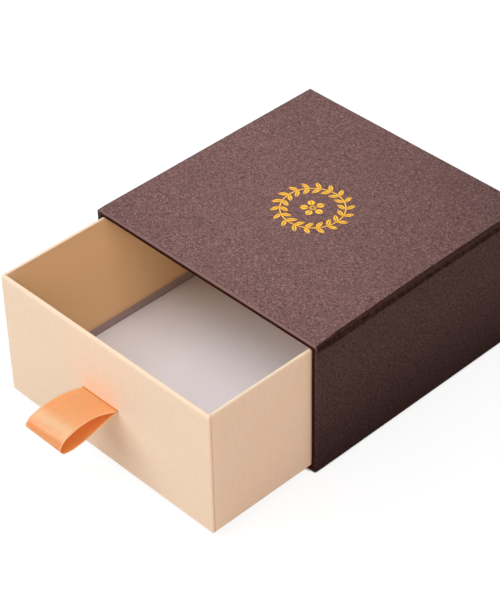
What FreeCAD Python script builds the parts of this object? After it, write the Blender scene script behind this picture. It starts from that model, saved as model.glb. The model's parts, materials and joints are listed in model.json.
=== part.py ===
import FreeCAD, Part
import math
import os

# A rigid drawer gift box: a paper-covered board sleeve with a closed back,
# and a paper-covered board drawer with a ribbon loop to pull it by.
# Millimetres. X is the width, the drawer opens towards -Y, +Z is up.
# The origin is the middle of the sleeve's underside.
# The drawer stands partly open, as photographed.

# Sleeve, whose upper right long edge is pressed to a bevel
sleeve_width = 120.0
sleeve_depth = 120.0
sleeve_height = 62.5
sleeve_board = 1.5
sleeve_paper = 0.2
edge_bevel = 2.0
mouth_turn_in = 15.0
back_turn_over = 14.0
cover_sheet_inset = 3.0

# Glue film between board and paper, which the corner tapes fill
glue_film = 0.1
tape_leg = 12.0
tape_below_rim = 1.5

# Drawer
drawer_board = 1.2
drawer_paper = 0.15
drawer_round = 0.8
rim_bevel = 0.5
side_clearance = 0.35
floor_clearance = 0.3
top_clearance = 0.5
back_clearance = 0.5
drawer_out = 51.0
drawer_turn_under = 14.0
bare_strip = 4.1
floor_card = 1.0
card_clearance = 0.3

# Ribbon
ribbon_width = 20.0
ribbon_thickness = 0.3
ribbon_offset = -2.5
slit_side_play = 0.5
slit_play = 0.2
loop_reach = 27.7
loop_rise = 4.2
loop_drop = 4.2
loop_gap = 0.4
loop_mouth = 0.1
tail_length = 15.0
patch_margin = 4.0

# Foil ornament on the top
foil = 0.08
wreath_radius = 13.0
wreath_stem = 0.7
leaf_length = 4.6
leaf_width = 1.8
leaf_pairs = 18
leaf_slant = 38.0
petal_length = 5.2
petal_width = 3.0
petals = 5
blossom_eye = 1.1

# One overrun for every cut
overrun = 2.0

# Layers of the sleeve, as insets from the wrap's outer face
sleeve_board_out = sleeve_paper + glue_film
sleeve_board_in = sleeve_board_out + sleeve_board
sleeve_turn_in = sleeve_board_in + sleeve_paper

half_width = sleeve_width / 2
mouth_y = -sleeve_depth / 2
back_wrap_y = sleeve_depth / 2 - sleeve_paper
back_board_y = back_wrap_y - sleeve_board_in
wrap_low_z = sleeve_paper

# Layers of the drawer, as insets from its wrap's outer face
drawer_board_out = drawer_paper + glue_film
drawer_board_in = drawer_board_out + drawer_board
drawer_turn_in = drawer_board_in + drawer_paper

drawer_half = half_width - sleeve_turn_in - side_clearance
front_y = mouth_y - drawer_out
drawer_depth = back_board_y - mouth_y - back_clearance
rear_y = front_y + drawer_depth
under_z = wrap_low_z + sleeve_turn_in + floor_clearance
drawer_wrap_z = under_z + drawer_paper
drawer_board_z = drawer_wrap_z + drawer_board_out
drawer_floor_z = drawer_board_z + drawer_board
card_top_z = drawer_floor_z + floor_card
rim_z = sleeve_height - sleeve_turn_in - top_clearance
board_rim_z = rim_z - drawer_paper
strip_top_z = card_top_z + bare_strip

slit_z = sleeve_height / 2
slit_half_width = ribbon_width / 2 + slit_side_play
slit_half_height = ribbon_thickness + slit_play
inner_front_y = front_y + drawer_turn_in
ribbon_left = ribbon_offset - ribbon_width / 2

# The loop's centre line: shares of its reach, and of its rise or drop
upper_shares = ((0.08, 0.26), (0.20, 0.58), (0.38, 0.93), (0.58, 1.0), (0.80, 0.76), (0.945, 0.31))
lower_shares = ((0.96, 0.80), (0.86, 1.0), (0.67, 0.98), (0.45, 0.70), (0.24, 0.36), (0.08, 0.12))
nose_shares = (1.0, 0.34)
offset_steps = 40


def block(x0, x1, y0, y1, z0, z1):
    return Part.makeBox(x1 - x0, y1 - y0, z1 - z0, FreeCAD.Vector(x0, y0, z0))


def rounded_face(a0, a1, b0, b1, radius, place):
    """A rectangle with rounded corners; place turns (a, b) into a point."""
    if radius <= 0:
        corners = [place(a0, b0), place(a1, b0), place(a1, b1), place(a0, b1), place(a0, b0)]
        return Part.Face(Part.makePolygon(corners))
    bulge = radius * (1 - math.sqrt(0.5))
    sides = [
        ((a0 + radius, b0), (a1 - radius, b0), (a1 - bulge, b0 + bulge)),
        ((a1, b0 + radius), (a1, b1 - radius), (a1 - bulge, b1 - bulge)),
        ((a1 - radius, b1), (a0 + radius, b1), (a0 + bulge, b1 - bulge)),
        ((a0, b1 - radius), (a0, b0 + radius), (a0 + bulge, b0 + bulge)),
    ]
    edges = []
    for i, (start, end, middle) in enumerate(sides):
        following = sides[(i + 1) % len(sides)][0]
        edges.append(Part.LineSegment(place(*start), place(*end)).toShape())
        edges.append(Part.Arc(place(*end), place(*middle), place(*following)).toShape())
    return Part.Face(Part.Wire(edges))


def bevelled_face(a0, a1, b0, b1, leg, place):
    """A rectangle with its (a1, b1) corner cut off at 45 degrees; place turns (a, b) into a point."""
    corners = [(a0, b0), (a1, b0), (a1, b1 - leg), (a1 - leg, b1), (a0, b1)]
    if leg <= 0:
        corners = [(a0, b0), (a1, b0), (a1, b1), (a0, b1)]
    return Part.Face(Part.makePolygon([place(*c) for c in corners + corners[:1]]))


def bevel_leg(inset):
    """The bevel's leg on a layer, so that each layer is as thick on the bevel as on the flats."""
    return edge_bevel - inset * (2 - math.sqrt(2))


def sleeve_core(inset, y0, y1, leg=0):
    """What lies inside the given inset of the sleeve's wrap, between two depths."""
    face = bevelled_face(
        -half_width + inset, half_width - inset,
        wrap_low_z + inset, sleeve_height - inset,
        leg, lambda a, b: FreeCAD.Vector(a, y0, b))
    return face.extrude(FreeCAD.Vector(0, y1 - y0, 0))


def drawer_core(inset, z0, z1, radius):
    """What lies inside the given inset of the drawer's wrap, between two heights."""
    face = rounded_face(
        -drawer_half + inset, drawer_half - inset,
        front_y + inset, rear_y - inset,
        radius, lambda a, b: FreeCAD.Vector(a, b, z0))
    return face.extrude(FreeCAD.Vector(0, 0, z1 - z0))


def bevelled_core(inset, z0, z1, radius, leg):
    """A drawer_core with a bevel round its upper edge."""
    core = drawer_core(inset, z0, z1, radius)
    rim = [edge for edge in core.Edges if edge.BoundBox.ZMin > z1 - leg / 2]
    return core.makeChamfer(leg, rim)


def sleeve_boards():
    """The four boards of the tube and the back board that closes it."""
    start_y = mouth_y + sleeve_paper
    outer = sleeve_core(sleeve_board_out, start_y, back_board_y, bevel_leg(sleeve_board_out))
    ring = outer.cut(sleeve_core(sleeve_board_in, start_y - overrun, back_board_y + overrun))
    inner_x = half_width - sleeve_board_in
    floor_z = wrap_low_z + sleeve_board_in
    roof_z = sleeve_height - sleeve_board_in
    wide = (-half_width - overrun, half_width + overrun)
    deep = (mouth_y - overrun, back_board_y + overrun)
    back = sleeve_core(sleeve_board_out, back_board_y, back_board_y + sleeve_board,
                       bevel_leg(sleeve_board_out))
    return {
        "sleeve_top_board": ring.common(block(*wide, *deep, roof_z, sleeve_height)),
        "sleeve_bottom_board": ring.common(block(*wide, *deep, 0, floor_z)),
        "sleeve_left_board": ring.common(block(wide[0], -inner_x, *deep, floor_z, roof_z)),
        "sleeve_right_board": ring.common(block(inner_x, wide[1], *deep, floor_z, roof_z)),
        "sleeve_back_board": back,
    }


def sleeve_tapes():
    """Corner tapes along the four long edges, in the glue film's thickness."""
    start_y = mouth_y + sleeve_paper
    end_y = back_board_y + sleeve_board
    outer = sleeve_core(sleeve_paper, start_y, end_y, bevel_leg(sleeve_paper))
    inner = sleeve_core(sleeve_board_out, start_y - overrun, end_y + overrun,
                        bevel_leg(sleeve_board_out))
    ring = outer.cut(inner)
    sides = {"left": (-half_width, -half_width + tape_leg), "right": (half_width - tape_leg, half_width)}
    levels = {"top": (sleeve_height - tape_leg, sleeve_height), "bottom": (0, wrap_low_z + tape_leg)}
    tapes = {}
    for level, (z0, z1) in levels.items():
        for side, (x0, x1) in sides.items():
            corner = block(x0, x1, mouth_y, sleeve_depth / 2, z0, z1)
            tapes["sleeve_tape_" + level + "_" + side] = ring.common(corner)
    return tapes


def sleeve_wrap():
    """The outer paper: four sides, the mouth's lip and turn-in, and the back's turned edges."""
    skin = sleeve_core(0, mouth_y, back_wrap_y, bevel_leg(0))
    skin = skin.cut(sleeve_core(sleeve_paper, mouth_y + sleeve_paper, back_wrap_y - sleeve_paper,
                                bevel_leg(sleeve_paper)))
    turn_end = mouth_y + mouth_turn_in
    mouth = sleeve_core(sleeve_turn_in, mouth_y - overrun, turn_end + overrun)
    back_gap = sleeve_core(back_turn_over, back_wrap_y - overrun, back_wrap_y + overrun)
    turn_in = sleeve_core(sleeve_board_in, mouth_y, turn_end)
    return skin.cut(mouth).cut(back_gap).fuse(turn_in.cut(mouth)).removeSplitter()


def sleeve_sheets():
    """The cover sheets on the back and the underside."""
    x = half_width - cover_sheet_inset
    low = wrap_low_z + cover_sheet_inset
    back = block(-x, x, back_wrap_y, back_wrap_y + sleeve_paper, low, sleeve_height - cover_sheet_inset)
    under = block(-x, x, mouth_y + cover_sheet_inset, back_wrap_y - cover_sheet_inset, 0, sleeve_paper)
    return {"sleeve_back_sheet": back, "sleeve_underside_sheet": under}


def slit():
    """The ribbon's slot through the drawer's front."""
    return block(ribbon_offset - slit_half_width, ribbon_offset + slit_half_width,
                 front_y - overrun, inner_front_y + overrun,
                 slit_z - slit_half_height, slit_z + slit_half_height)


def drawer_boards():
    """Four walls that stand round the bottom board, with the slit in the front one."""
    leg = rim_bevel + drawer_paper * (math.sqrt(2) - 1) - drawer_board_out
    outer = bevelled_core(drawer_board_out, drawer_board_z, board_rim_z,
                          drawer_round - drawer_board_out, leg)
    ring = outer.cut(drawer_core(drawer_board_in, drawer_board_z - overrun, board_rim_z + overrun, 0))
    inner_x = drawer_half - drawer_board_in
    inner_y = (front_y + drawer_board_in, rear_y - drawer_board_in)
    wide = (-drawer_half - overrun, drawer_half + overrun)
    tall = (under_z - overrun, rim_z + overrun)
    front = ring.common(block(*wide, front_y - overrun, inner_y[0], *tall))
    return {
        "drawer_front_board": front.cut(slit()),
        "drawer_back_board": ring.common(block(*wide, inner_y[1], rear_y + overrun, *tall)),
        "drawer_left_board": ring.common(block(wide[0], -inner_x, *inner_y, *tall)),
        "drawer_right_board": ring.common(block(inner_x, wide[1], *inner_y, *tall)),
        "drawer_bottom_board": drawer_core(drawer_board_in, drawer_board_z, drawer_floor_z, 0),
    }


def drawer_tapes():
    """Stay tapes round the four upright corners, cut a little short of the rim."""
    top_z = board_rim_z - tape_below_rim
    outer = drawer_core(drawer_paper, drawer_board_z, top_z, drawer_round - drawer_paper)
    inner = drawer_core(drawer_board_out, drawer_board_z - overrun, board_rim_z + overrun,
                        drawer_round - drawer_board_out)
    ring = outer.cut(inner)
    sides = {"left": (-drawer_half, -drawer_half + tape_leg), "right": (drawer_half - tape_leg, drawer_half)}
    ends = {"front": (front_y, front_y + tape_leg), "back": (rear_y - tape_leg, rear_y)}
    tapes = {}
    for end, (y0, y1) in ends.items():
        for side, (x0, x1) in sides.items():
            corner = block(x0, x1, y0, y1, under_z, rim_z)
            tapes["drawer_tape_" + end + "_" + side] = ring.common(corner)
    return tapes


def drawer_wrap():
    """The outer paper: four walls, the rim fold, the turn-in and the edges under the bottom."""
    skin = bevelled_core(0, drawer_wrap_z, rim_z, drawer_round, rim_bevel)
    skin = skin.cut(bevelled_core(drawer_paper, drawer_wrap_z + drawer_paper, board_rim_z,
                                  drawer_round - drawer_paper,
                                  rim_bevel - drawer_paper * (2 - math.sqrt(2))))
    tray = drawer_core(drawer_turn_in, strip_top_z - overrun, rim_z + overrun, 0)
    bottom_gap = drawer_core(drawer_turn_under, drawer_wrap_z - overrun, drawer_wrap_z + overrun, 0)
    turn_in = drawer_core(drawer_board_in, strip_top_z, rim_z, 0)
    paper = skin.cut(tray).cut(bottom_gap).fuse(turn_in.cut(tray))
    return paper.cut(slit()).removeSplitter()


def drawer_sheets():
    """The cover sheet under the bottom and the loose card on the floor."""
    x = drawer_half - cover_sheet_inset
    under = block(-x, x, front_y + cover_sheet_inset, rear_y - cover_sheet_inset, under_z, drawer_wrap_z)
    card = drawer_core(drawer_board_in + card_clearance, drawer_floor_z, card_top_z, 0)
    return {"drawer_underside_sheet": under, "drawer_floor_card": card}


def ribbon_tails():
    """The ribbon's two ends: through the slit, then up and down the wall's inner face."""
    right = ribbon_left + ribbon_width
    glued_y = (inner_front_y, inner_front_y + ribbon_thickness)
    tails = {}
    for name, way in (("ribbon_upper_tail", 1), ("ribbon_lower_tail", -1)):
        through_z = sorted((slit_z, slit_z + way * ribbon_thickness))
        glued_z = sorted((slit_z, slit_z + way * tail_length))
        through = block(ribbon_left, right, front_y, glued_y[1], *through_z)
        glued = block(ribbon_left, right, *glued_y, *glued_z)
        tails[name] = through.fuse(glued).removeSplitter()
    return tails


def ribbon_patch():
    """The paper patch over both glued tails."""
    half = ribbon_width / 2 + patch_margin
    reach = tail_length + patch_margin
    y0 = inner_front_y + ribbon_thickness
    return block(ribbon_offset - half, ribbon_offset + half, y0, y0 + drawer_paper,
                 slit_z - reach, slit_z + reach)


def loop_line():
    """The loop's centre line, from the slit's upper side round to its lower side."""
    end_z = (ribbon_thickness + loop_mouth) / 2
    places = [(0, end_z)]
    places += [(u * loop_reach, v * loop_rise) for u, v in upper_shares]
    places += [(nose_shares[0] * loop_reach, -nose_shares[1] * loop_drop)]
    places += [(u * loop_reach, -v * loop_drop) for u, v in lower_shares]
    places += [(0, -end_z)]
    start_y = front_y - loop_gap
    line = Part.BSplineCurve()
    line.interpolate([FreeCAD.Vector(ribbon_left, start_y - u, slit_z + v) for u, v in places])
    return line


def loop_side(line, distance):
    """A curve beside the centre line, at the given distance from it."""
    first, last = line.FirstParameter, line.LastParameter
    points = []
    for step in range(offset_steps + 1):
        at = first + (last - first) * step / offset_steps
        tangent = line.tangent(at)[0]
        across = FreeCAD.Vector(0, tangent.z, -tangent.y)
        points.append(line.value(at) + across * distance)
    side = Part.BSplineCurve()
    side.interpolate(points)
    return side


def ribbon_loop():
    """A band of the ribbon's thickness and width that follows the centre line."""
    line = loop_line()
    outside = loop_side(line, ribbon_thickness / 2)
    inside = loop_side(line, -ribbon_thickness / 2)
    ends = [Part.LineSegment(outside.EndPoint, inside.EndPoint).toShape(),
            Part.LineSegment(inside.StartPoint, outside.StartPoint).toShape()]
    edges = Part.__sortEdges__([outside.toShape(), inside.toShape()] + ends)
    face = Part.Face(Part.Wire(edges))
    return face.extrude(FreeCAD.Vector(ribbon_width, 0, 0))


def lens(length, width):
    """A pointed leaf of foil that starts at the origin and lies along +X."""
    start = FreeCAD.Vector(0, 0, 0)
    end = FreeCAD.Vector(length, 0, 0)
    above = FreeCAD.Vector(length / 2, width / 2, 0)
    below = FreeCAD.Vector(length / 2, -width / 2, 0)
    edges = [Part.Arc(start, above, end).toShape(), Part.Arc(end, below, start).toShape()]
    return Part.Face(Part.Wire(edges)).extrude(FreeCAD.Vector(0, 0, foil))


def foil_wreath():
    """A ring of paired leaves round a small open blossom."""
    up = FreeCAD.Vector(0, 0, 1)
    origin = FreeCAD.Vector(0, 0, 0)
    ring = Part.makeCylinder(wreath_radius + wreath_stem / 2, foil)
    ring = ring.cut(Part.makeCylinder(wreath_radius - wreath_stem / 2, foil))
    leaves = []
    for i in range(leaf_pairs):
        turn = 360.0 * i / leaf_pairs
        for lean in (leaf_slant, 180 - leaf_slant):
            leaf = lens(leaf_length, leaf_width)
            leaf.rotate(origin, up, lean)
            leaf.translate(FreeCAD.Vector(wreath_radius, 0, 0))
            leaf.rotate(origin, up, turn)
            leaves.append(leaf)
    blossom = [Part.makeCylinder(blossom_eye, foil)]
    for i in range(petals):
        petal = lens(petal_length, petal_width)
        petal.rotate(origin, up, 360.0 * i / petals)
        blossom.append(petal)
    wreath = ring.multiFuse(leaves).removeSplitter()
    flower = blossom[0].multiFuse(blossom[1:]).removeSplitter()
    emblem = Part.makeCompound([wreath, flower])
    emblem.translate(FreeCAD.Vector(0, 0, sleeve_height))
    return emblem


def build():
    """Every piece by name."""
    pieces = {}
    pieces.update(sleeve_boards())
    pieces.update(sleeve_tapes())
    pieces["sleeve_wrap"] = sleeve_wrap()
    pieces.update(sleeve_sheets())
    pieces["foil_wreath"] = foil_wreath()
    pieces.update(drawer_boards())
    pieces.update(drawer_tapes())
    pieces["drawer_wrap"] = drawer_wrap()
    pieces.update(drawer_sheets())
    pieces.update(ribbon_tails())
    pieces["ribbon_patch"] = ribbon_patch()
    pieces["ribbon_loop"] = ribbon_loop()
    return pieces


os.makedirs("parts", exist_ok=True)
for node, shape in build().items():
    shape.exportStep("parts/" + node + ".step")
    box = shape.BoundBox
    print(node, len(shape.Solids), shape.isValid(), round(shape.Volume, 2),
          [round(v, 2) for v in (box.XMin, box.XMax, box.YMin, box.YMax, box.ZMin, box.ZMax)])
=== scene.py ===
import json
import math

import bpy
from mathutils import Matrix, Vector, noise


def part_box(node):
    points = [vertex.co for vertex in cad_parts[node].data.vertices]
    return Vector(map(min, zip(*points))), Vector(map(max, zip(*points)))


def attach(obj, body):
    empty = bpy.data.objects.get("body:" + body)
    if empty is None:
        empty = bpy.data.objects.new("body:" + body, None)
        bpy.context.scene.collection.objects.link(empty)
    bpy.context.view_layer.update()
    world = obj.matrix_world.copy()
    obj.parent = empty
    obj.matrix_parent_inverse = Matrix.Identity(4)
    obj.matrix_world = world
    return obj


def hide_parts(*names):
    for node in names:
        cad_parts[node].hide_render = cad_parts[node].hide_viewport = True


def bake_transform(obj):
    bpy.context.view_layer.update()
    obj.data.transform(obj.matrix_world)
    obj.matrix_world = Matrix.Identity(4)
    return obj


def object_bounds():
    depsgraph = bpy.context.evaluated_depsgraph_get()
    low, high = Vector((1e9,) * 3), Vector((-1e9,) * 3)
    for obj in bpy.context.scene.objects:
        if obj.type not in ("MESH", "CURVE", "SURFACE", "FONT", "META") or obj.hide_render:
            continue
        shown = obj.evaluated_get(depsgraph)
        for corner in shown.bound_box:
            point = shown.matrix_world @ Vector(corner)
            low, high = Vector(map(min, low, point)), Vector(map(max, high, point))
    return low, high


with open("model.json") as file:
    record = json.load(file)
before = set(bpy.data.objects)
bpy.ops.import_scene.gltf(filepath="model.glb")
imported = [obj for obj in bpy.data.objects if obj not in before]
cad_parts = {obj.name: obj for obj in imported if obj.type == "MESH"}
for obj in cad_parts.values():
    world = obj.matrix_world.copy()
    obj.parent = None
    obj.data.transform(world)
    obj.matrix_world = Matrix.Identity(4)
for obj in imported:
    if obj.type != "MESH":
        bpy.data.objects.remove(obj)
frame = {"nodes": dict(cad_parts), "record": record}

# A rigid drawer gift box in textured dark brown paper, with a cream drawer and a satin ribbon pull.
# Metres, in the CAD's frame: X is the width, the drawer opens towards -Y, +Z is up.

MM = 0.001
cad_low, cad_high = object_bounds()
touch = 0.01 * MM

# Camera, solved from the box's corners in the photograph
camera_lens = 127.01
camera_azimuth = 46.4626
camera_elevation = 39.1637
camera_roll = -1.2670
camera_place = Vector((0.465298, -0.477161, 0.559153))
camera_near = 0.05

# Soft boxes: name, direction from the middle of the object, width, watts and tint
lamps = (
    ("key", (-0.35, -0.6, 0.72), 1.2, 15.0, (1.0, 0.98, 1.0)),
    ("left_box", (-0.55, 0.1, 0.82), 0.6, 1.5, (1.0, 1.0, 1.0)),
    ("front_box", (0.1, -0.33, 0.93), 0.9, 7.2, (1.0, 0.99, 1.0)),
    ("back_box", (-0.56, 0.53, 0.63), 0.55, 8.5, (1.0, 0.99, 1.0)),
    ("right_box", (0.85, -0.3, 0.4), 0.9, 8.9, (1.0, 0.745, 0.66)),
)
lamp_distance = 1.5

# White surroundings, and half the width of the floor
world_strength = 0.09
floor_half = 8.0

# Steps along the small rounds
crisp_steps = 3
round_steps = 4
post_steps = 5
bevel_steps = 6

# Sleeve wrap, placed by its node and by the board and sheet beside it
sleeve_low, sleeve_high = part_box("sleeve_wrap")
top_board_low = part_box("sleeve_top_board")[0]
sleeve_sheet_low, sleeve_sheet_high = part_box("sleeve_underside_sheet")
sleeve_paper = sleeve_sheet_high.z - sleeve_sheet_low.z
sleeve_turn_in = sleeve_high.z - top_board_low.z + sleeve_paper
mouth_y, back_y = sleeve_low.y, sleeve_high.y
mouth_turn_in = 15.0 * MM
mouth_turn_in_shares = (1.0, 0.97, 0.7, 0.4, 0.1)
back_turn_over = 14.0 * MM
back_turn_over_steps = 6
lip_round = 0.6 * MM
back_round = 0.3 * MM
crisp_round = 0.3 * MM
crisp_at_mouth = 0.65 * MM
crisp_fade = 4.0 * MM
crisp_clearance = 1.0 * MM
least_round = 0.06 * MM
support = 0.35 * MM
sleeve_columns = 24
sleeve_rows = 14
sleeve_depth_steps = 40
sleeve_depth_power = 1.5
sleeve_wave = 0.05 * MM
sleeve_wave_length = 26.0 * MM
sleeve_wave_seed = 3.0

# Bevel along the upper right edge, from the mouth to the back
bevel_at_mouth = 0.3 * MM
bevel_full = 1.6 * MM
bevel_growth = 40.0 * MM
bevel_flat_share = 0.7
bevel_clearance = 4.5 * MM

# The band of painted shade along the bevel, in millimetres: distance from the mouth, then its reach
# from the corner over the top and down the side
band_stops = (
    (0.0, 0.55, 2.75), (6.0, 0.95, 3.3), (16.0, 1.45, 3.3), (32.0, 1.6, 3.0),
    (40.0, 1.85, 2.95), (60.0, 2.15, 2.5), (80.0, 2.25, 2.35), (120.0, 2.25, 2.35),
)
band_margin = 0.1 * MM
band_least_flat = 0.05 * MM
band_fade = 0.55 * MM
band_flat_shade = 0.7
band_side_shade = 0.15
band_bevel_shade = 0.8

# Marks at the mouth: shade painted deep inside it, and a painted highlight along its lip
mouth_shade_inset = 0.9 * lip_round
lip_face_depth = 0.5 * lip_round
lip_highlight_depth = 1.1 * lip_round
lip_highlight_inset = 0.5 * lip_round
lip_highlight_height = 2.0 * MM
lip_highlight_below = 0.15

# Drawer wrap, placed by its node and by the board, sheet and card beside it
drawer_low, drawer_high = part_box("drawer_wrap")
front_board_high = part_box("drawer_front_board")[1]
drawer_sheet_low, drawer_sheet_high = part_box("drawer_underside_sheet")
card_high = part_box("drawer_floor_card")[1]
drawer_paper = drawer_sheet_high.z - drawer_sheet_low.z
drawer_turn_in = front_board_high.y - drawer_low.y + drawer_paper
bare_strip = 4.1 * MM
drawer_turn_under = 14.0 * MM
drawer_turn_under_steps = 5
rim_outer_round = 0.85 * MM
rim_inner_round = 0.3 * MM
rim_fold = 0.5 * rim_outer_round
foot_round = 0.65 * MM
foot_clearance = 1.5 * foot_round
post_round = 0.8 * MM
post_clearance = 0.3 * MM
inner_post_round = 0.1 * MM
seam_place = 1.1 * MM
seam_width = 0.36 * MM
seam_depth = 0.12 * MM
seam_step = 0.04 * MM
inner_seam_place = 3 * inner_post_round
inner_seam_width = inner_post_round
# Share of the inside's painted shade on the right and front inner walls
right_front_wall_shade_share = 0.3
front_clearance = 1.0 * MM
front_pitch = 5.0 * MM
height_pitch = 2.5 * MM
side_steps = 24
drawer_wave = 0.05 * MM
drawer_wave_length = 22.0 * MM
drawer_wave_seed = 11.0

# Ribbon, placed by its tails and its loop
upper_low, upper_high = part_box("ribbon_upper_tail")
lower_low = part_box("ribbon_lower_tail")[0]
loop_low, loop_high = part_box("ribbon_loop")
patch_low, patch_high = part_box("ribbon_patch")
ribbon_thickness = patch_low.y - (drawer_low.y + drawer_turn_in)
ribbon_middle = (upper_low.x + upper_high.x) / 2
satin_share = 0.8
tail_bend = 0.35 * MM
rise_right = 4.35 * MM
rise_left = 3.0 * MM
drop_right = 4.2 * MM
drop_left = 3.9 * MM
ribbon_row = 0.3 * MM
ribbon_columns = 28
curve_steps = 12
least_gap_share = 0.2
selvedge_wave = 0.09 * MM
selvedge_pitch = 1.5 * MM
root_shade = 1.3 * MM
sheen_place_share = 0.82
sheen_reach_share = 0.15
nose_start_share = 0.9

# Shares of the loop's reach and of its rise or drop, as in the CAD
upper_shares = ((0.08, 0.26), (0.20, 0.58), (0.38, 0.93), (0.58, 1.0), (0.80, 0.76), (0.945, 0.31))
nose_shares = (1.0, 0.34)
lower_shares = ((0.96, 0.80), (0.86, 1.0), (0.67, 0.98), (0.45, 0.70), (0.24, 0.36), (0.08, 0.12))

# Slit in the drawer's front, with a border in which the wall's points stand close together
slit_z = upper_low.z
slit_half_height = 0.38 * MM
slit_side_play = 0.2 * MM
slit_low_x = upper_low.x - slit_side_play
slit_high_x = upper_high.x + slit_side_play
slit_end = 1.0 * MM
slit_pitch = 2.0 * MM
border = 1.2 * MM
border_pitch = 0.4 * MM
border_clearance = 2.0 * MM

# Patch over the ribbon's tails
patch_pitch = 0.9 * MM
patch_slope = 1.4 * MM
patch_gap = 0.02 * MM
patch_crinkle = 0.03 * MM
patch_crinkle_length = 4.0 * MM

# Foil ornament
foil_low, foil_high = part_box("foil_wreath")
foil_line = 0.5 * MM
wreath_radius = 13.0 * MM
wreath_steps = 96
leaf_length = 4.6 * MM
leaf_width = 1.9 * MM
leaf_vein = 0.3 * MM
leaf_steps = 8
leaf_pairs = 18
leaf_slant = 38.0
blossom_radius = 1.0 * MM
blossom_steps = 32
petal_start = 1.6 * MM
petal_length = 5.2 * MM
petal_width = 3.0 * MM
petals = 5

# Softened edges of the bare boards and the card
board_edge = 0.1 * MM
board_edge_segments = 2


# Number helpers

def clamped(value):
    return min(max(value, 0.0), 1.0)


def mix(first, second, share):
    return first + (second - first) * share


def arc(steps):
    """Sine and cosine over a quarter turn."""
    turns = [math.pi / 2 * i / steps for i in range(steps + 1)]
    return [(math.sin(t), math.cos(t)) for t in turns]


def evenly(low, high, steps):
    """Evenly spaced places from low to high, both included."""
    return [low + (high - low) * i / steps for i in range(steps + 1)]


def between(low, high, pitch):
    """Evenly spaced places from low to high, both included, no further apart than the pitch."""
    return evenly(low, high, max(1, math.ceil((high - low) / pitch)))


# Mesh helpers

def new_piece(name, verts, faces, slot, body, *nodes):
    """A mesh object that, with a body, rides on it in place of the nodes. Its slot is not used."""
    mesh = bpy.data.meshes.new(name)
    mesh.from_pydata([tuple(v) for v in verts], [], faces)
    mesh.validate()
    for face in mesh.polygons:
        face.use_smooth = True
    piece = bpy.data.objects.new(name, mesh)
    bpy.context.collection.objects.link(piece)
    if body:
        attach(piece, body)
    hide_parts(*nodes)
    return piece


def ring(low, high, corners, first_stops, second_stops):
    """Points round a rectangle from low to high. Each of the corners, from the lower right one
    against the clock, lists how far its points stand from the two sides, starting from the first
    direction's side."""
    lower_right, upper_right, upper_left, lower_left = corners
    points = [(a, low[1]) for a in first_stops]
    points += [(high[0] - p, low[1] + q) for p, q in lower_right]
    points += [(high[0], b) for b in second_stops]
    points += [(high[0] - p, high[1] - q) for p, q in reversed(upper_right)]
    points += [(a, high[1]) for a in reversed(first_stops)]
    points += [(low[0] + p, high[1] - q) for p, q in upper_left]
    points += [(low[0], b) for b in reversed(second_stops)]
    points += [(low[0] + p, low[1] + q) for p, q in reversed(lower_left)]
    return points


def loft(rings, left_out=None):
    """Points and faces between rings that run round the same way. The faces look outwards where the
    rings run against the clock as seen from the first one. A face is skipped where left_out says
    so of its corners."""
    count = len(rings[0])
    verts = [p for points in rings for p in points]
    faces = []
    for i in range(len(rings) - 1):
        for j in range(count):
            k = (j + 1) % count
            corners = ((i + 1) * count + j, (i + 1) * count + k, i * count + k, i * count + j)
            if left_out and left_out([verts[c] for c in corners]):
                continue
            faces.append(corners)
    return verts, faces


def grid(rows, flip=False):
    """Points and faces of an open sheet whose rows each hold the same number of points."""
    count = len(rows[0])
    verts = [p for row in rows for p in row]
    faces = []
    for i in range(len(rows) - 1):
        for j in range(count - 1):
            face = (i * count + j, i * count + j + 1, (i + 1) * count + j + 1, (i + 1) * count + j)
            faces.append(tuple(reversed(face)) if flip else face)
    return verts, faces


def mark(piece, found):
    """Stores the numbers found for each point under their names, for a material to read."""
    for name in found[0]:
        layer = piece.data.attributes.new(name, "FLOAT", "POINT")
        for item, numbers in zip(layer.data, found):
            item.value = numbers[name]


def wave(piece, height, length, seed):
    """Moves each point a little along its normal, as paper lies on board."""
    mesh = piece.data
    shift = Vector((seed, seed, seed))
    moved = [v.co + v.normal * height * noise.noise(v.co / length + shift) for v in mesh.vertices]
    for v, place in zip(mesh.vertices, moved):
        v.co = place


def thicken(piece, thickness, offset=-1.0):
    """Gives a sheet its thickness, by default on the side away from its normals."""
    solid = piece.modifiers.new("thickness", "SOLIDIFY")
    solid.thickness = thickness
    solid.offset = offset


# Sleeve

def crisp_radius(y):
    """The crisp edges are a little worn at the mouth."""
    share = max(1 - (y - mouth_y) / crisp_fade, 0.0)
    return mix(crisp_round, crisp_at_mouth, share)


def crisp_corner(y, inset):
    """A small round with a point beside it on each side."""
    radius = max(crisp_radius(y) - inset, least_round)
    curve = [(radius * (1 - s), radius * (1 - c)) for s, c in arc(crisp_steps)]
    return [(radius + support, 0.0)] + curve + [(0.0, radius + support)]


def bevel_radius(y):
    """The bevel is pressed in behind the mouth, whose own corner stays crisp."""
    return mix(bevel_at_mouth, bevel_full, clamped((y - mouth_y) / bevel_growth))


def band_reach(y, inset):
    """How far the band of painted shade runs over the top and down the side at a depth and an
    inset.
    """
    from_mouth = (y - mouth_y) / MM
    for (start, *first), (end, *second) in zip(band_stops, band_stops[1:]):
        if from_mouth <= end:
            break
    share = clamped((from_mouth - start) / (end - start))
    least = bevel_radius(y) + band_margin
    return [max(mix(a, b, share) * MM, least) - inset for a, b in zip(first, second)]


def bevel_corner(y, inset):
    """The upper right corner, between a true round and a flat bevel, inside the band's two ends."""
    radius = max(bevel_radius(y) - inset, least_round)
    over, down = (max(reach, radius + band_least_flat) for reach in band_reach(y, inset))
    points = [(over + band_fade, 0.0), (over, 0.0)]
    for i, (s, c) in enumerate(arc(bevel_steps)):
        share = i / bevel_steps
        p = radius * ((1 - bevel_flat_share) * (1 - s) + bevel_flat_share * (1 - share))
        q = radius * ((1 - bevel_flat_share) * (1 - c) + bevel_flat_share * share)
        points.append((p, q))
    return points + [(0.0, down), (0.0, down + band_fade)]


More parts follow.
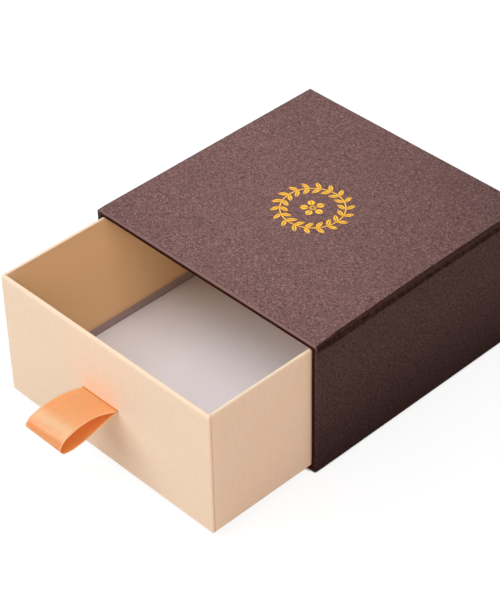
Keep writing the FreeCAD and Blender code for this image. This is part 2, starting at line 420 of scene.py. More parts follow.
def sleeve_ring(y, inset):
    """The wrap's outline at a depth, at an inset from its outer face."""
    low = (sleeve_low.x + inset, sleeve_low.z + inset)
    high = (sleeve_high.x - inset, sleeve_high.z - inset)
    across = evenly(low[0] + crisp_clearance, high[0] - bevel_clearance, sleeve_columns)
    upright = evenly(low[1] + crisp_clearance, high[1] - bevel_clearance, sleeve_rows)
    crisp = crisp_corner(y, inset)
    corners = (crisp, bevel_corner(y, inset), crisp, crisp)
    return [Vector((a, y, b)) for a, b in ring(low, high, corners, across, upright)]


def sleeve_path():
    """Depth and inset along the wrap: turn-in, lip, outer face, back edge and turned-over edge.
    The depths stand closest together behind the mouth, where the bevel begins."""
    path = [(mouth_y + mouth_turn_in * share, sleeve_turn_in) for share in mouth_turn_in_shares]
    for s, c in arc(round_steps):
        path.append((mouth_y + lip_round * (1 - s), sleeve_turn_in - lip_round * (1 - c)))
    for s, c in arc(round_steps):
        path.append((mouth_y + lip_round * (1 - c), lip_round * (1 - s)))
    start, end = mouth_y + 2 * lip_round, back_y - 2 * back_round
    for i in range(sleeve_depth_steps + 1):
        path.append((start + (end - start) * (i / sleeve_depth_steps) ** sleeve_depth_power, 0.0))
    for s, c in arc(round_steps):
        path.append((back_y - back_round * (1 - s), back_round * (1 - c)))
    turned_over = evenly(back_round, back_turn_over, back_turn_over_steps)
    return path + [(back_y, inset) for inset in turned_over[1:]]


def sleeve_marks(y, inset, point):
    """What the sleeve's material reads at a point of the wrap."""
    over, down = band_reach(y, inset)
    from_side = sleeve_high.x - inset - point.x
    from_top = sleeve_high.z - inset - point.z
    on_flat = from_top < touch or from_side < touch
    lower = from_top / max(from_top + from_side, touch)
    # Painted shade across the bevel's band
    shade = band_flat_shade + band_side_shade * lower if on_flat else band_bevel_shade * lower
    in_band = inset < lip_round and from_side < over + touch and from_top < down + touch
    in_mouth = y < mouth_y + mouth_turn_in and inset > mouth_shade_inset
    # A painted highlight along the mouth's lip
    on_lip = y < mouth_y + lip_highlight_depth and inset < lip_highlight_inset
    on_left_lip = y < mouth_y + lip_face_depth and point.x - sleeve_low.x < sleeve_turn_in + touch
    return {
        "painted_band_shade": shade if in_band else 0.0,
        "pressed": float(in_band and not on_flat),
        "shaded": float(in_mouth and not on_left_lip),
        "lip_highlight": on_lip * (1.0 if from_top < lip_highlight_height else lip_highlight_below),
        "lip_face": float(on_left_lip),
    }


def make_sleeve_wrap():
    path = sleeve_path()
    rings = [sleeve_ring(*stop) for stop in path]
    piece = new_piece("sleeve_wrap_paper", *loft(rings), "sleeve_paper", "sleeve", "sleeve_wrap")
    mark(piece, [sleeve_marks(*stop, p) for stop, points in zip(path, rings) for p in points])
    wave(piece, sleeve_wave, sleeve_wave_length, sleeve_wave_seed)
    thicken(piece, sleeve_paper)
    return piece


# Drawer

def post_corner(radius, seam, width, depth, step):
    """A rounded upright corner, then the edge of the lapped paper on the side wall: a groove at the
    seam, and beyond it the lower of the two layers."""
    points = [(radius * (1 - s), radius * (1 - c)) for s, c in arc(post_steps)]
    points += [(0.0, seam - width / 2), (depth, seam - width / 3)]
    points += [(depth, seam + width / 4), (step, seam + width / 2), (step, seam + 2 * width)]
    return points


def front_places():
    """Places across the front and back walls, close together beside the slit."""
    edge = drawer_high.x - drawer_turn_in - front_clearance
    return (between(-edge, slit_low_x - border_clearance, front_pitch)
            + between(slit_low_x - border, slit_low_x, border_pitch)
            + between(slit_low_x + slit_end, slit_high_x - slit_end, slit_pitch)
            + between(slit_high_x, slit_high_x + border, border_pitch)
            + between(slit_high_x + border_clearance, edge, front_pitch))


def wall_heights(low, high):
    """Heights of the wall's rings, close together above and below the slit."""
    slit_low_z, slit_high_z = slit_z - slit_half_height, slit_z + slit_half_height
    return (between(low, slit_low_z - border_clearance, height_pitch)
            + between(slit_low_z - border, slit_low_z, border_pitch)
            + between(slit_high_z, slit_high_z + border, border_pitch)
            + between(slit_high_z + border_clearance, high, height_pitch))


def drawer_ring(z, inset, inner):
    """The wrap's outline at a height, at an inset from its outer face; inner is 1 for the tight
    corners of the turn-in and 0 for the round corners outside."""
    low = (drawer_low.x + inset, drawer_low.y + inset)
    high = (drawer_high.x - inset, drawer_high.y - inset)
    share = 1 - inner
    radius = mix(inner_post_round, post_round, share)
    seam = mix(inner_seam_place, seam_place, share)
    width = mix(inner_seam_width, seam_width, share)
    corner = post_corner(radius, seam, width, seam_depth * share, seam_step * share)
    edge_a, edge_b = corner[0][0], corner[-1][1]
    shrink = max(inset - drawer_turn_in, 0.0) / (drawer_high.x - drawer_low.x) * 2
    across = [a * (1 - shrink) + ribbon_middle * shrink for a in front_places()]
    across = [low[0] + edge_a + post_clearance] + across + [high[0] - edge_a - post_clearance]
    sides = (low[1] + edge_b, high[1] - edge_b)
    upright = [sides[0] + support] + evenly(*sides, side_steps)[1:-1] + [sides[1] - support]
    return [Vector((a, b, z)) for a, b in ring(low, high, [corner] * 4, across, upright)]


def drawer_path():
    """Height, inset and inner share along the wrap: turn-in, rim, outer wall, foot and the edge
    turned under it."""
    rim, foot = drawer_high.z, drawer_low.z
    inside_top, outside_top = rim - 2 * rim_inner_round, rim - 2 * rim_outer_round
    path = [(z, drawer_turn_in, 1) for z in wall_heights(card_high.z + bare_strip, inside_top)]
    for s, c in arc(round_steps):
        inset = drawer_turn_in - rim_inner_round * (1 - c)
        path.append((rim - rim_inner_round * (1 - s), inset, 1))
    for s, c in arc(round_steps):
        path.append((rim - rim_outer_round * (1 - c), rim_outer_round * (1 - s), 0))
    path += [(z, 0.0, 0) for z in reversed(wall_heights(foot + foot_clearance, outside_top))]
    for s, c in arc(round_steps):
        path.append((foot + foot_round * (1 - s), foot_round * (1 - c), 0))
    turned_under = evenly(foot_round, drawer_turn_under, drawer_turn_under_steps)
    return path + [(foot, inset, 0) for inset in turned_under[1:]]


def in_slit(corners):
    """True for a face of the front wall that lies in the ribbon's slit."""
    middle = sum(corners, Vector()) / len(corners)
    return (middle.y < drawer_low.y + 2 * drawer_turn_in
            and slit_low_x < middle.x < slit_high_x
            and abs(middle.z - slit_z) < slit_half_height)


def drawer_marks(z, inset, inner, point):
    """What the drawer's material reads at a point of the wrap."""
    sunk = min(point.x - drawer_low.x, drawer_high.x - point.x) - inset
    on_right = point.x > drawer_high.x - 2 * drawer_turn_in
    on_front = point.y < drawer_low.y + 2 * drawer_turn_in
    # Painted shade on the inner walls, lighter on the right and front walls
    in_drawer = inner and z < drawer_high.z - rim_inner_round
    return {
        "seam": float(not inner and abs(sunk - seam_depth) < touch),
        "inside": (right_front_wall_shade_share if on_right or on_front else 1.0) if in_drawer else 0.0,
        "fold": float(z > drawer_high.z - rim_fold),
    }


def make_drawer_wrap():
    path = drawer_path()
    rings = [drawer_ring(*stop) for stop in path]
    piece = new_piece("drawer_wrap_paper", *loft(rings, in_slit),
                      "drawer_paper", "drawer", "drawer_wrap")
    mark(piece, [drawer_marks(*stop, p) for stop, points in zip(path, rings) for p in points])
    wave(piece, drawer_wave, drawer_wave_length, drawer_wave_seed)
    thicken(piece, drawer_paper)
    return piece


def make_patch():
    """The paper patch, pressed down round the two glued tails."""
    wall = drawer_low.y + drawer_turn_in
    rows = []
    for z in between(patch_low.z, patch_high.z, patch_pitch):
        row = []
        for x in between(patch_low.x, patch_high.x, patch_pitch):
            inside_x = min(x - upper_low.x, upper_high.x - x)
            inside_z = min(z - lower_low.z, upper_high.z - z)
            share = clamped((min(inside_x, inside_z) + patch_slope) / patch_slope)
            lift = share * share * (3 - 2 * share) * ribbon_thickness
            crinkle = patch_crinkle * noise.noise(Vector((x, z, 0)) / patch_crinkle_length)
            row.append(Vector((x, wall + lift + drawer_paper + patch_gap + crinkle, z)))
        rows.append(row)
    piece = new_piece("ribbon_patch_paper", *grid(rows, flip=True),
                      "drawer_paper", "drawer", "ribbon_patch")
    thicken(piece, drawer_paper)
    return piece


# Ribbon

def ribbon_line(rise, drop):
    """Depth and height along one edge: tail, slit, loop, slit and tail."""
    half = ribbon_thickness / 2
    tail_y = drawer_low.y + drawer_turn_in + half
    start_y = loop_high.y
    reach = start_y - (loop_low.y + half)
    over, under = slit_z + half, slit_z - half
    top, bottom = upper_high.z, lower_low.z
    points = [(tail_y, z) for z in (top, (top + over) / 2, over + 3 * tail_bend)]
    for s, c in arc(round_steps):
        points.append((tail_y - tail_bend * (1 - c), over + tail_bend * (1 - s)))
    points.append((start_y, over))
    points += [(start_y - u * reach, slit_z + v * rise) for u, v in upper_shares]
    points.append((start_y - nose_shares[0] * reach, slit_z - nose_shares[1] * drop))
    points += [(start_y - u * reach, slit_z - v * drop) for u, v in lower_shares]
    points.append((start_y, under))
    for s, c in reversed(arc(round_steps)):
        points.append((tail_y - tail_bend * (1 - c), under - tail_bend * (1 - s)))
    points += [(tail_y, z) for z in (under - 3 * tail_bend, (bottom + under) / 2, bottom)]
    return [Vector(p) for p in points]


def through(points):
    """A smooth line through the points, whose direction at each follows its two neighbours, the
    nearer one more."""
    line = []
    ends = [points[0] * 2 - points[1]] + points + [points[-1] * 2 - points[-2]]
    for i in range(1, len(ends) - 2):
        before, start, end, after = ends[i - 1:i + 3]
        gap = (end - start).length
        gap_before = max((start - before).length, least_gap_share * gap)
        gap_after = max((after - end).length, least_gap_share * gap)
        ahead = (end - start) / gap
        out = (ahead * gap_before + (start - before) / gap_before * gap) / (gap + gap_before)
        into = ((after - end) / gap_after * gap + ahead * gap_after) / (gap + gap_after)
        for k in range(curve_steps):
            t = k / curve_steps
            line.append(start * (2 * t ** 3 - 3 * t ** 2 + 1) + end * (3 * t ** 2 - 2 * t ** 3)
                        + out * gap * (t ** 3 - 2 * t ** 2 + t) + into * gap * (t ** 3 - t ** 2))
    line.append(points[-1])
    return line


def resample(line, count):
    """The same line with its points evenly spaced."""
    run = [0.0]
    for a, b in zip(line, line[1:]):
        run.append(run[-1] + (b - a).length)
    points = []
    at = 0
    for i in range(count + 1):
        goal = run[-1] * i / count
        while at < len(run) - 2 and run[at + 1] < goal:
            at += 1
        share = (goal - run[at]) / (run[at + 1] - run[at])
        points.append(line[at].lerp(line[at + 1], share))
    return points


def ribbon_rows(width):
    """Rows of points across the ribbon, in order along it, and its length."""
    left = through(ribbon_line(rise_left, drop_left))
    right = through(ribbon_line(rise_right, drop_right))
    length = sum((b - a).length for a, b in zip(right, right[1:]))
    count = math.ceil(length / ribbon_row)
    rows = []
    for i, (a, b) in enumerate(zip(resample(left, count), resample(right, count))):
        along = length * i / count
        row = []
        for j in range(ribbon_columns + 1):
            share = j / ribbon_columns
            place = a.lerp(b, share)
            x = upper_low.x + width * share
            if j in (0, ribbon_columns):
                inward = 1 if j == 0 else -1
                x += inward * selvedge_wave * (1 + math.sin(math.tau * along / selvedge_pitch))
            row.append(Vector((x, place.x, place.y)))
        rows.append(row)
    return rows, length


def ribbon_marks(point, above):
    """What the ribbon's material reads at a point, above or below the loop's nose."""
    out = (drawer_low.y - point.y) / (loop_high.y - loop_low.y)
    return {
        "root": clamped(1 + (point.y - drawer_low.y) / root_shade),
        "sheen": max(1 - abs(out - sheen_place_share) / sheen_reach_share, 0.0) if above else 0.0,
        "beneath": 0.0 if above else 1.0,
        "nose": clamped((out - nose_start_share) / (1 - nose_start_share)),
    }


def make_ribbon():
    width = upper_high.x - upper_low.x
    rows, length = ribbon_rows(width)
    piece = new_piece("ribbon_satin", *grid(rows), "ribbon", None,
                      "ribbon_loop", "ribbon_upper_tail", "ribbon_lower_tail")
    layer = piece.data.uv_layers.new(name="ribbon")
    for corner in piece.data.loops:
        row, column = divmod(corner.vertex_index, ribbon_columns + 1)
        layer.data[corner.index].uv = (column / ribbon_columns, row * ribbon_row / width)
    middle_row = (len(rows) - 1) / 2
    mark(piece, [ribbon_marks(p, i < middle_row) for i, row in enumerate(rows) for p in row])
    thicken(piece, ribbon_thickness * satin_share, offset=0.0)
    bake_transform(piece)
    return piece


# Foil ornament

def half_leaf(length, width):
    """One half of a pointed leaf beside its vein, from the origin along +X."""
    bulge = (width - leaf_vein) / 2
    return [(length * i / leaf_steps, leaf_vein / 2 + bulge * math.sin(math.pi * i / leaf_steps))
            for i in range(leaf_steps + 1)]


def turned(points, turn):
    s, c = math.sin(turn), math.cos(turn)
    return [(x * c - y * s, x * s + y * c) for x, y in points]


def foil_shapes():
    """Outlines of the wreath's leaves and the blossom's petals, in halves beside their veins."""
    shapes = []
    for i in range(leaf_pairs):
        for lean in (leaf_slant, 180 - leaf_slant):
            for side in (1, -1):
                half = [(x, side * y) for x, y in half_leaf(leaf_length, leaf_width)]
                leaf = [(x + wreath_radius, y) for x, y in turned(half, math.radians(lean))]
                shapes.append(turned(leaf, math.tau * i / leaf_pairs))
    for i in range(petals):
        for side in (1, -1):
            half = half_leaf(petal_length - petal_start, petal_width)
            half = [(x + petal_start, side * y) for x, y in half]
            shapes.append(turned(half, math.tau * i / petals))
    return shapes


def add_plate(verts, faces, outline, low, high):
    """A thin plate over a closed outline that bulges nowhere inward."""
    start = len(verts)
    count = len(outline)
    verts += [Vector((x, y, low)) for x, y in outline]
    verts += [Vector((x, y, high)) for x, y in outline]
    faces.append(tuple(range(start + count, start + 2 * count)))
    faces.append(tuple(reversed(range(start, start + count))))
    for i in range(count):
        k = (i + 1) % count
        faces.append((start + i, start + k, start + count + k, start + count + i))


def add_band(verts, faces, radius, low, high, steps):
    """A flat ring, one foil line wide."""
    start = len(verts)
    corners = ((radius + foil_line / 2, low), (radius + foil_line / 2, high),
               (radius - foil_line / 2, high), (radius - foil_line / 2, low))
    for i in range(steps):
        turn = math.tau * i / steps
        verts += [Vector((r * math.cos(turn), r * math.sin(turn), z)) for r, z in corners]
    for i in range(steps):
        here = start + i * 4
        there = start + (i + 1) % steps * 4
        for j in range(4):
            k = (j + 1) % 4
            faces.append((here + j, there + j, there + k, here + k))


def make_emblem():
    """The foil's leaves and petals, the ring the leaves grow from and one inside the petals."""
    low, high = foil_low.z, foil_high.z
    verts, faces = [], []
    for shape in foil_shapes():
        area = sum(a[0] * b[1] - b[0] * a[1] for a, b in zip(shape, shape[1:] + shape[:1]))
        add_plate(verts, faces, shape if area > 0 else shape[::-1], low, high)
    add_band(verts, faces, wreath_radius, low, high, wreath_steps)
    add_band(verts, faces, blossom_radius, low, high, blossom_steps)
    piece = new_piece("foil_emblem", verts, faces, "gold_foil", "sleeve", "foil_wreath")
    for face in piece.data.polygons:
        face.use_smooth = False
    return piece


# Material helpers

def colour(red, green, blue):
    return (red, green, blue, 1.0)


def add_node(tree, kind, inputs=None, **settings):
    """A node with its settings, and with inputs that are numbers or other nodes' outputs."""
    made = tree.nodes.new(kind)
    for name, value in settings.items():
        setattr(made, name, value)
    for name, value in (inputs or {}).items():
        socket = made.inputs[name]
        if isinstance(value, bpy.types.NodeSocket):
            tree.links.new(value, socket)
        else:
            socket.default_value = value
    return made


def start_material(name):
    material = bpy.data.materials.new(name)
    material.use_nodes = True
    tree = material.node_tree
    tree.nodes.clear()
    return material, tree


def finish_material(material, tree, inputs):
    """Closes a material with one shader that has these inputs."""
    shader = add_node(tree, "ShaderNodeBsdfPrincipled", inputs)
    add_node(tree, "ShaderNodeOutputMaterial", {"Surface": shader.outputs[0]})
    return material


def object_place(tree):
    return add_node(tree, "ShaderNodeTexCoord").outputs["Object"]


def stored(tree, name):
    """The number that each point of the piece carries under this name."""
    return add_node(tree, "ShaderNodeAttribute", attribute_name=name).outputs["Fac"]


def mottle(tree, place, size, detail, rough, stretch=None, distortion=0.0):
    """Noise whose blotches are about the given size, from 0 to 1."""
    if stretch:
        place = add_node(tree, "ShaderNodeMapping", {"Vector": place, "Scale": stretch}).outputs[0]
    made = add_node(tree, "ShaderNodeTexNoise", {
        "Vector": place, "Scale": 1.0 / size, "Detail": detail, "Roughness": rough,
        "Distortion": distortion})
    return made.outputs[0]


def calculate(tree, operation, *values):
    made = add_node(tree, "ShaderNodeMath", dict(enumerate(values)), operation=operation)
    return made.outputs[0]


def rescale(tree, value, low=0.0, high=1.0, to_low=0.0, to_high=1.0):
    """A number's range from low to high laid over another range, and held at its ends."""
    made = add_node(tree, "ShaderNodeMapRange", {
        "Value": value, "From Min": low, "From Max": high, "To Min": to_low, "To Max": to_high})
    return made.outputs[0]


def spread(tree, mottled, to_low=0.0, to_high=1.0):
    """Noise laid over a whole range, as most of it lies between 0.3 and 0.7."""
    return rescale(tree, mottled, low=0.3, high=0.7, to_low=to_low, to_high=to_high)


def blend_colour(tree, share, first, second):
    made = add_node(tree, "ShaderNodeMix", {0: share, 6: first, 7: second}, data_type="RGBA")
    return made.outputs[2]


def bump(tree, height, distance, strength, normal=None):
    inputs = {"Height": height, "Distance": distance, "Strength": strength}
    if normal:
        inputs["Normal"] = normal
    return add_node(tree, "ShaderNodeBump", inputs).outputs[0]


def open_share(tree, distance):
    """How open the surface is to its surroundings within a distance, from 0 to 1."""
    made = add_node(tree, "ShaderNodeAmbientOcclusion", {"Distance": distance}, samples=8)
    return made.outputs["AO"]


# Materials

def sleeve_paper_material():
    """Dark brown paper with a fine leathery grain and a slight pearl shine. Shade is painted on the
    bevel's band, inside the mouth and near the ground, and a highlight is painted along the lip."""
    material, tree = start_material("sleeve_paper")
    grain_dark, grain_pale = colour(0.031, 0.0163, 0.0155), colour(0.105, 0.059, 0.0555)
    speck_pale = colour(0.175, 0.107, 0.099)
    cloud_dark = colour(0.050, 0.028, 0.026)
    pressed_brown = colour(0.105, 0.052, 0.041)
    band_painted_shade = colour(0.021, 0.0085, 0.006)
    painted_lip_highlight = colour(0.17, 0.105, 0.098)
    painted_ground_shade = colour(0.006, 0.002, 0.002)
    mouth_painted_shade = colour(0.055, 0.0125, 0.0055)

    place = object_place(tree)
    grain = mottle(tree, place, size=1.0 * MM, detail=2.0, rough=0.6, distortion=0.7)
    speck = mottle(tree, place, size=0.55 * MM, detail=1.0, rough=0.5)
    blot = mottle(tree, place, size=2.2 * MM, detail=1.0, rough=0.5)
    cloud = mottle(tree, place, size=22 * MM, detail=2.0, rough=0.5)
    tone = blend_colour(tree, rescale(tree, grain, low=0.29, high=0.71), grain_dark, grain_pale)
    specks = rescale(tree, speck, low=0.53, high=0.70, to_high=0.75)
    tone = blend_colour(tree, specks, tone, speck_pale)
    tone = blend_colour(tree, spread(tree, cloud, to_high=0.15), tone, cloud_dark)
    pressed = rescale(tree, stored(tree, "pressed"), to_high=0.6)
    tone = blend_colour(tree, pressed, tone, pressed_brown)

    # The noise makes the band's painted shade uneven and its edge ragged
    uneven = rescale(tree, blot, low=0.35, high=0.65, to_low=0.72, to_high=1.25)
    jitter = spread(tree, speck, to_low=-0.3, to_high=0.3)
    band = calculate(tree, "MULTIPLY_ADD", stored(tree, "painted_band_shade"), uneven, jitter)
    band = rescale(tree, band, low=0.3, high=0.9, to_high=0.9)
    tone = blend_colour(tree, band, tone, band_painted_shade)
    # Painted highlight along the mouth's lip
    tone = blend_colour(tree, rescale(tree, stored(tree, "lip_highlight"), to_high=0.75), tone, painted_lip_highlight)

    # Painted shade darkens paper close to the ground or to another wall, apart from the left lip's
    # face
    covered = rescale(tree, open_share(tree, 45 * MM), low=0.5, high=1.0, to_low=0.62, to_high=0.0)
    elsewhere = rescale(tree, stored(tree, "lip_face"), to_low=1.0, to_high=0.0)
    tone = blend_colour(tree, calculate(tree, "MULTIPLY", covered, elsewhere), tone, painted_ground_shade)
    # Painted shade deep inside the mouth
    tone = blend_colour(tree, stored(tree, "shaded"), tone, mouth_painted_shade)

    relief = bump(tree, grain, 0.09 * MM, 0.8)
    relief = bump(tree, speck, 0.025 * MM, 0.7, relief)
    return finish_material(material, tree, {
        "Base Color": tone, "Metallic": 0.5, "Specular IOR Level": 0.0, "Normal": relief,
        "Specular Tint": colour(0.5, 0.5, 0.5), "Roughness": spread(tree, grain, 0.3, 0.4)})


def drawer_paper_material():
    """Smooth matt cream paper with warm painted shade inside the drawer, deeper in tone on the
    rim's fold, and darker where its cut edges lap."""
    material, tree = start_material("drawer_paper")
    fibre_dark, fibre_pale = colour(0.875, 0.705, 0.525), colour(0.935, 0.770, 0.585)
    cloud_warm = colour(0.915, 0.732, 0.525)
    inside_painted_shade = colour(0.87, 0.59, 0.31)
    fold_dark = colour(0.80, 0.645, 0.47)
    seam_brown = colour(0.62, 0.34, 0.16)

    place = object_place(tree)
    fibre = mottle(tree, place, size=1.1 * MM, detail=4.0, rough=0.6, stretch=(1.0, 1.0, 0.35))
    cloud = mottle(tree, place, size=18 * MM, detail=3.0, rough=0.5)
    tone = blend_colour(tree, spread(tree, fibre), fibre_dark, fibre_pale)
    clouds = rescale(tree, cloud, low=0.35, high=0.7, to_high=0.5)
    tone = blend_colour(tree, clouds, tone, cloud_warm)
    # The inside tint is painted warm shade on the drawer's inner walls
    for name, tint in (("inside", inside_painted_shade), ("fold", fold_dark), ("seam", seam_brown)):
        tone = blend_colour(tree, stored(tree, name), tone, tint)
    return finish_material(material, tree, {
        "Base Color": tone, "Specular IOR Level": 0.25,
        "Roughness": spread(tree, fibre, 0.55, 0.68), "Normal": bump(tree, fibre, 0.012 * MM, 0.6)})


def board_material(name, dark, pale):
    """Bare board of pressed fibres, with dark flecks."""
    material, tree = start_material(name)
    fleck_share = 0.4
    fleck_dark = colour(*(part * fleck_share for part in dark[:3]))
    place = object_place(tree)
    fibre = mottle(tree, place, size=0.9 * MM, detail=5.0, rough=0.7, stretch=(0.4, 0.4, 1.6))
    fleck = mottle(tree, place, size=0.35 * MM, detail=1.0, rough=0.5)
    tone = blend_colour(tree, spread(tree, fibre), dark, pale)
    flecks = rescale(tree, fleck, low=0.68, high=0.8, to_high=0.5)
    tone = blend_colour(tree, flecks, tone, fleck_dark)
    return finish_material(material, tree, {
        "Base Color": tone, "Roughness": 0.85, "Specular IOR Level": 0.15,
        "Normal": bump(tree, fibre, 0.03 * MM, 0.7)})


def tape_material():
    """Brown gummed tape with long fibres."""
    material, tree = start_material("kraft_tape")
    fibre_dark, fibre_pale = colour(0.34, 0.22, 0.12), colour(0.48, 0.33, 0.20)
    place = object_place(tree)
    fibre = mottle(tree, place, size=1.0 * MM, detail=5.0, rough=0.7, stretch=(1.0, 0.15, 1.0))
    tone = blend_colour(tree, spread(tree, fibre), fibre_dark, fibre_pale)
    return finish_material(material, tree, {
        "Base Color": tone, "Roughness": 0.6, "Normal": bump(tree, fibre, 0.02 * MM, 0.6)})


def card_material():
    """Matt white card with a cool tint and faint clouds."""
    material, tree = start_material("white_card")
    fibre_dark, fibre_pale = colour(0.94, 0.925, 0.96), colour(0.955, 0.94, 0.975)
    cloud_dark = colour(0.935, 0.918, 0.955)
    place = object_place(tree)
    fibre = mottle(tree, place, size=1.0 * MM, detail=4.0, rough=0.6)
    cloud = mottle(tree, place, size=24 * MM, detail=2.0, rough=0.5)
    tone = blend_colour(tree, spread(tree, fibre), fibre_dark, fibre_pale)
    clouds = rescale(tree, cloud, low=0.4, high=0.7, to_high=0.3)
    tone = blend_colour(tree, clouds, tone, cloud_dark)
    return finish_material(material, tree, {
        "Base Color": tone, "Roughness": 0.7, "Specular IOR Level": 0.25,
        "Normal": bump(tree, fibre, 0.01 * MM, 0.5)})


def ribbon_material():
    """Orange satin: threads along the ribbon, fine ribs across it and a bound edge. A sheen
    highlight is painted behind the loop's nose and light is painted beneath; it is a deeper orange
    at the nose, and at the slit as painted shade."""
    material, tree = start_material("ribbon")
    thread_dark, thread_pale = colour(0.92, 0.325, 0.125), colour(0.98, 0.393, 0.165)
    beneath_painted_light = colour(1.0, 0.44, 0.17)
    painted_sheen_highlight = colour(0.96, 0.52, 0.31)
    nose_orange = colour(1.0, 0.34, 0.135)
    edge_pale = colour(0.95, 0.46, 0.24)
    root_painted_shade = colour(0.95, 0.28, 0.06)
    bound_from, bound_to = 0.462, 0.478

    # The cloth's coordinates run from 0 to 1 across the ribbon, and to the same scale along it
    cloth = add_node(tree, "ShaderNodeUVMap", uv_map="ribbon").outputs[0]
    threads = mottle(tree, cloth, size=0.02, detail=2.0, rough=0.5, stretch=(1.0, 0.04, 1.0))
    ribs = add_node(tree, "ShaderNodeTexWave", {"Vector": cloth, "Scale": 11.0, "Distortion": 0.3},
                    bands_direction="Y").outputs["Fac"]
    across = add_node(tree, "ShaderNodeSeparateXYZ", {0: cloth}).outputs[0]
    from_middle = calculate(tree, "ABSOLUTE", calculate(tree, "SUBTRACT", across, 0.5))
    edge = rescale(tree, from_middle, low=bound_from, high=bound_to)

    tone = blend_colour(tree, spread(tree, threads), thread_dark, thread_pale)
    # Painted light on the lower strand, standing in for light through the cloth
    tone = blend_colour(tree, stored(tree, "beneath"), tone, beneath_painted_light)
    # Painted sheen highlight behind the loop's nose, streaked by the threads
    streaks = calculate(tree, "MULTIPLY", stored(tree, "sheen"), spread(tree, threads, 0.55, 1.1))
    tone = blend_colour(tree, rescale(tree, streaks, high=0.7, to_high=0.9), tone, painted_sheen_highlight)
    nose = rescale(tree, stored(tree, "nose"), high=0.6, to_high=0.85)
    tone = blend_colour(tree, nose, tone, nose_orange)
    tone = blend_colour(tree, edge, tone, edge_pale)
    # Deeper orange painted at the slit as shade where the ribbon enters it
    root = rescale(tree, stored(tree, "root"), low=0.35, high=0.7, to_high=0.9)
    tone = blend_colour(tree, root, tone, root_painted_shade)

    relief = bump(tree, threads, 0.03 * MM, 0.7)
    relief = bump(tree, ribs, 0.01 * MM, 0.35, relief)
    relief = bump(tree, edge, 0.06 * MM, 0.6, relief)
    along = add_node(tree, "ShaderNodeTangent", direction_type="UV_MAP").outputs[0]
    return finish_material(material, tree, {
        "Base Color": tone, "Normal": relief, "Specular IOR Level": 0.6,
        "Roughness": spread(tree, threads, 0.30, 0.42), "Anisotropic": 0.8, "Tangent": along,
        "Subsurface Weight": 0.9, "Subsurface Radius": (1.0, 0.4, 0.2),
        "Subsurface Scale": 1.5 * MM, "Sheen Weight": 0.15, "Sheen Roughness": 0.4,
        "Sheen Tint": colour(1.0, 0.72, 0.5)})


def foil_material():
    """Stamped gold foil that takes up the paper's grain."""
    material, tree = start_material("gold_foil")
    grain_dark, grain_pale = colour(0.36, 0.185, 0.012), colour(0.58, 0.32, 0.026)
    grain = mottle(tree, object_place(tree), size=0.75 * MM, detail=2.0, rough=0.6)
    tone = blend_colour(tree, spread(tree, grain), grain_dark, grain_pale)
    return finish_material(material, tree, {
        "Base Color": tone, "Metallic": 0.9, "Roughness": spread(tree, grain, 0.38, 0.55),
        "Normal": bump(tree, grain, 0.04 * MM, 0.7)})


def floor_material():
    """A pale floor that is white to the camera and in reflections, and keeps the shadow."""
    material, tree = start_material("floor")
    cloud_dark, cloud_pale = colour(0.62, 0.60, 0.585), colour(0.65, 0.63, 0.615)
    shadow_grey = colour(0.16, 0.16, 0.16)
    cloud = mottle(tree, object_place(tree), size=0.3, detail=2.0, rough=0.5)
    tone = blend_colour(tree, spread(tree, cloud), cloud_dark, cloud_pale)
    light = add_node(tree, "ShaderNodeLightPath").outputs
    seen = light["Is Camera Ray"]
    for kind in ("Is Glossy Ray", "Is Transmission Ray"):
        seen = calculate(tree, "MAXIMUM", seen, light[kind])
    # Painted contact shadow: the floor's glow dims where it is close to the object
    free = open_share(tree, 3 * MM)
    strength = rescale(tree, free, low=0.40, high=0.52, to_low=0.05, to_high=0.88)
    glow = add_node(tree, "ShaderNodeEmission", {"Strength": strength}).outputs[0]
    plain = add_node(tree, "ShaderNodeBsdfDiffuse", {"Color": tone}).outputs[0]
    shadowed = add_node(tree, "ShaderNodeBsdfDiffuse", {"Color": shadow_grey}).outputs[0]
    bright = add_node(tree, "ShaderNodeAddShader", {0: shadowed, 1: glow}).outputs[0]
    shader = add_node(tree, "ShaderNodeMixShader", {0: seen, 1: plain, 2: bright})
    add_node(tree, "ShaderNodeOutputMaterial", {"Surface": shader.outputs[0]})
    return material


def make_finishes():
    """A material for each slot of the record."""
    greyboard = (colour(0.27, 0.235, 0.21), colour(0.36, 0.32, 0.29))
    rosy_board = (colour(0.36, 0.28, 0.27), colour(0.46, 0.37, 0.36))
    return {
        "sleeve_board": board_material("sleeve_board", *greyboard),
        "kraft_tape": tape_material(),
        "sleeve_paper": sleeve_paper_material(),
        "gold_foil": foil_material(),
        "drawer_board": board_material("drawer_board", *rosy_board),
        "drawer_paper": drawer_paper_material(),
        "white_card": card_material(),
        "ribbon": ribbon_material(),
    }


def dress(materials):
    """Gives every CAD node the material of its slot, and boards and card softened edges."""
    for part in frame["record"]["subparts"]:
        slot = part["material_slot"]
        shown = frame["nodes"][part["node"]]
        shown.data.materials.clear()
        shown.data.materials.append(materials[slot])
        if slot in ("sleeve_board", "drawer_board", "white_card"):
            edges = shown.modifiers.new("edges", "BEVEL")
            edges.width = board_edge
            edges.segments = board_edge_segments


# Camera, lights and floor

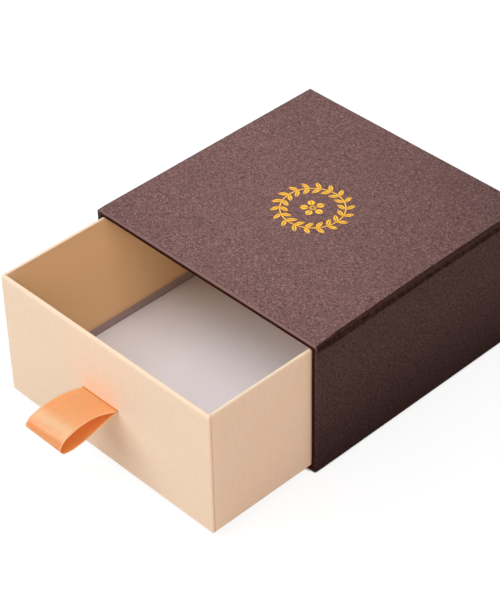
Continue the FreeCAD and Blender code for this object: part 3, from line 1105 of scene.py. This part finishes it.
def make_camera():
    a, e, r = (math.radians(v) for v in (camera_azimuth, camera_elevation, camera_roll))
    right = Vector((math.cos(a), math.sin(a), 0))
    back = Vector((math.sin(a) * math.cos(e), -math.cos(a) * math.cos(e), math.sin(e)))
    up = back.cross(right)
    across = right * math.cos(r) + up * math.sin(r)
    upward = up * math.cos(r) - right * math.sin(r)
    turn = Matrix((across, upward, back)).transposed().to_4x4()
    camera = bpy.data.objects.new("camera", bpy.data.cameras.new("camera"))
    camera.data.lens = camera_lens
    camera.data.clip_start = camera_near
    camera.matrix_world = Matrix.Translation(camera_place) @ turn
    bpy.context.collection.objects.link(camera)
    bpy.context.scene.camera = camera


def area_light(name, direction, size, energy, tint):
    """A square soft box that faces the middle of the object."""
    data = bpy.data.lights.new(name, "AREA")
    data.size = size
    data.energy = energy
    data.color = tint
    lamp = bpy.data.objects.new(name, data)
    towards = Vector(direction).normalized()
    lamp.location = (cad_low + cad_high) / 2 + towards * lamp_distance
    lamp.rotation_mode = "QUATERNION"
    lamp.rotation_quaternion = (-towards).to_track_quat("-Z", "Y")
    bpy.context.collection.objects.link(lamp)


def make_world():
    world = bpy.data.worlds.new("studio")
    world.use_nodes = True
    background = world.node_tree.nodes["Background"]
    background.inputs["Color"].default_value = colour(1.0, 1.0, 1.0)
    background.inputs["Strength"].default_value = world_strength
    bpy.context.scene.world = world


def make_floor(material):
    low = cad_low.z - touch
    sides = ((-1, -1), (1, -1), (1, 1), (-1, 1))
    mesh = bpy.data.meshes.new("floor")
    mesh.from_pydata([(x * floor_half, y * floor_half, low) for x, y in sides], [], [(0, 1, 2, 3)])
    mesh.materials.append(material)
    floor = bpy.data.objects.new("floor", mesh)
    bpy.context.collection.objects.link(floor)


bpy.context.scene.view_settings.view_transform = "Standard"
finishes = make_finishes()
dress(finishes)
make_sleeve_wrap().data.materials.append(finishes["sleeve_paper"])
make_drawer_wrap().data.materials.append(finishes["drawer_paper"])
make_patch().data.materials.append(finishes["drawer_paper"])
make_ribbon().data.materials.append(finishes["ribbon"])
make_emblem().data.materials.append(finishes["gold_foil"])
make_camera()
for lamp_row in lamps:
    area_light(*lamp_row)
make_world()
make_floor(floor_material())
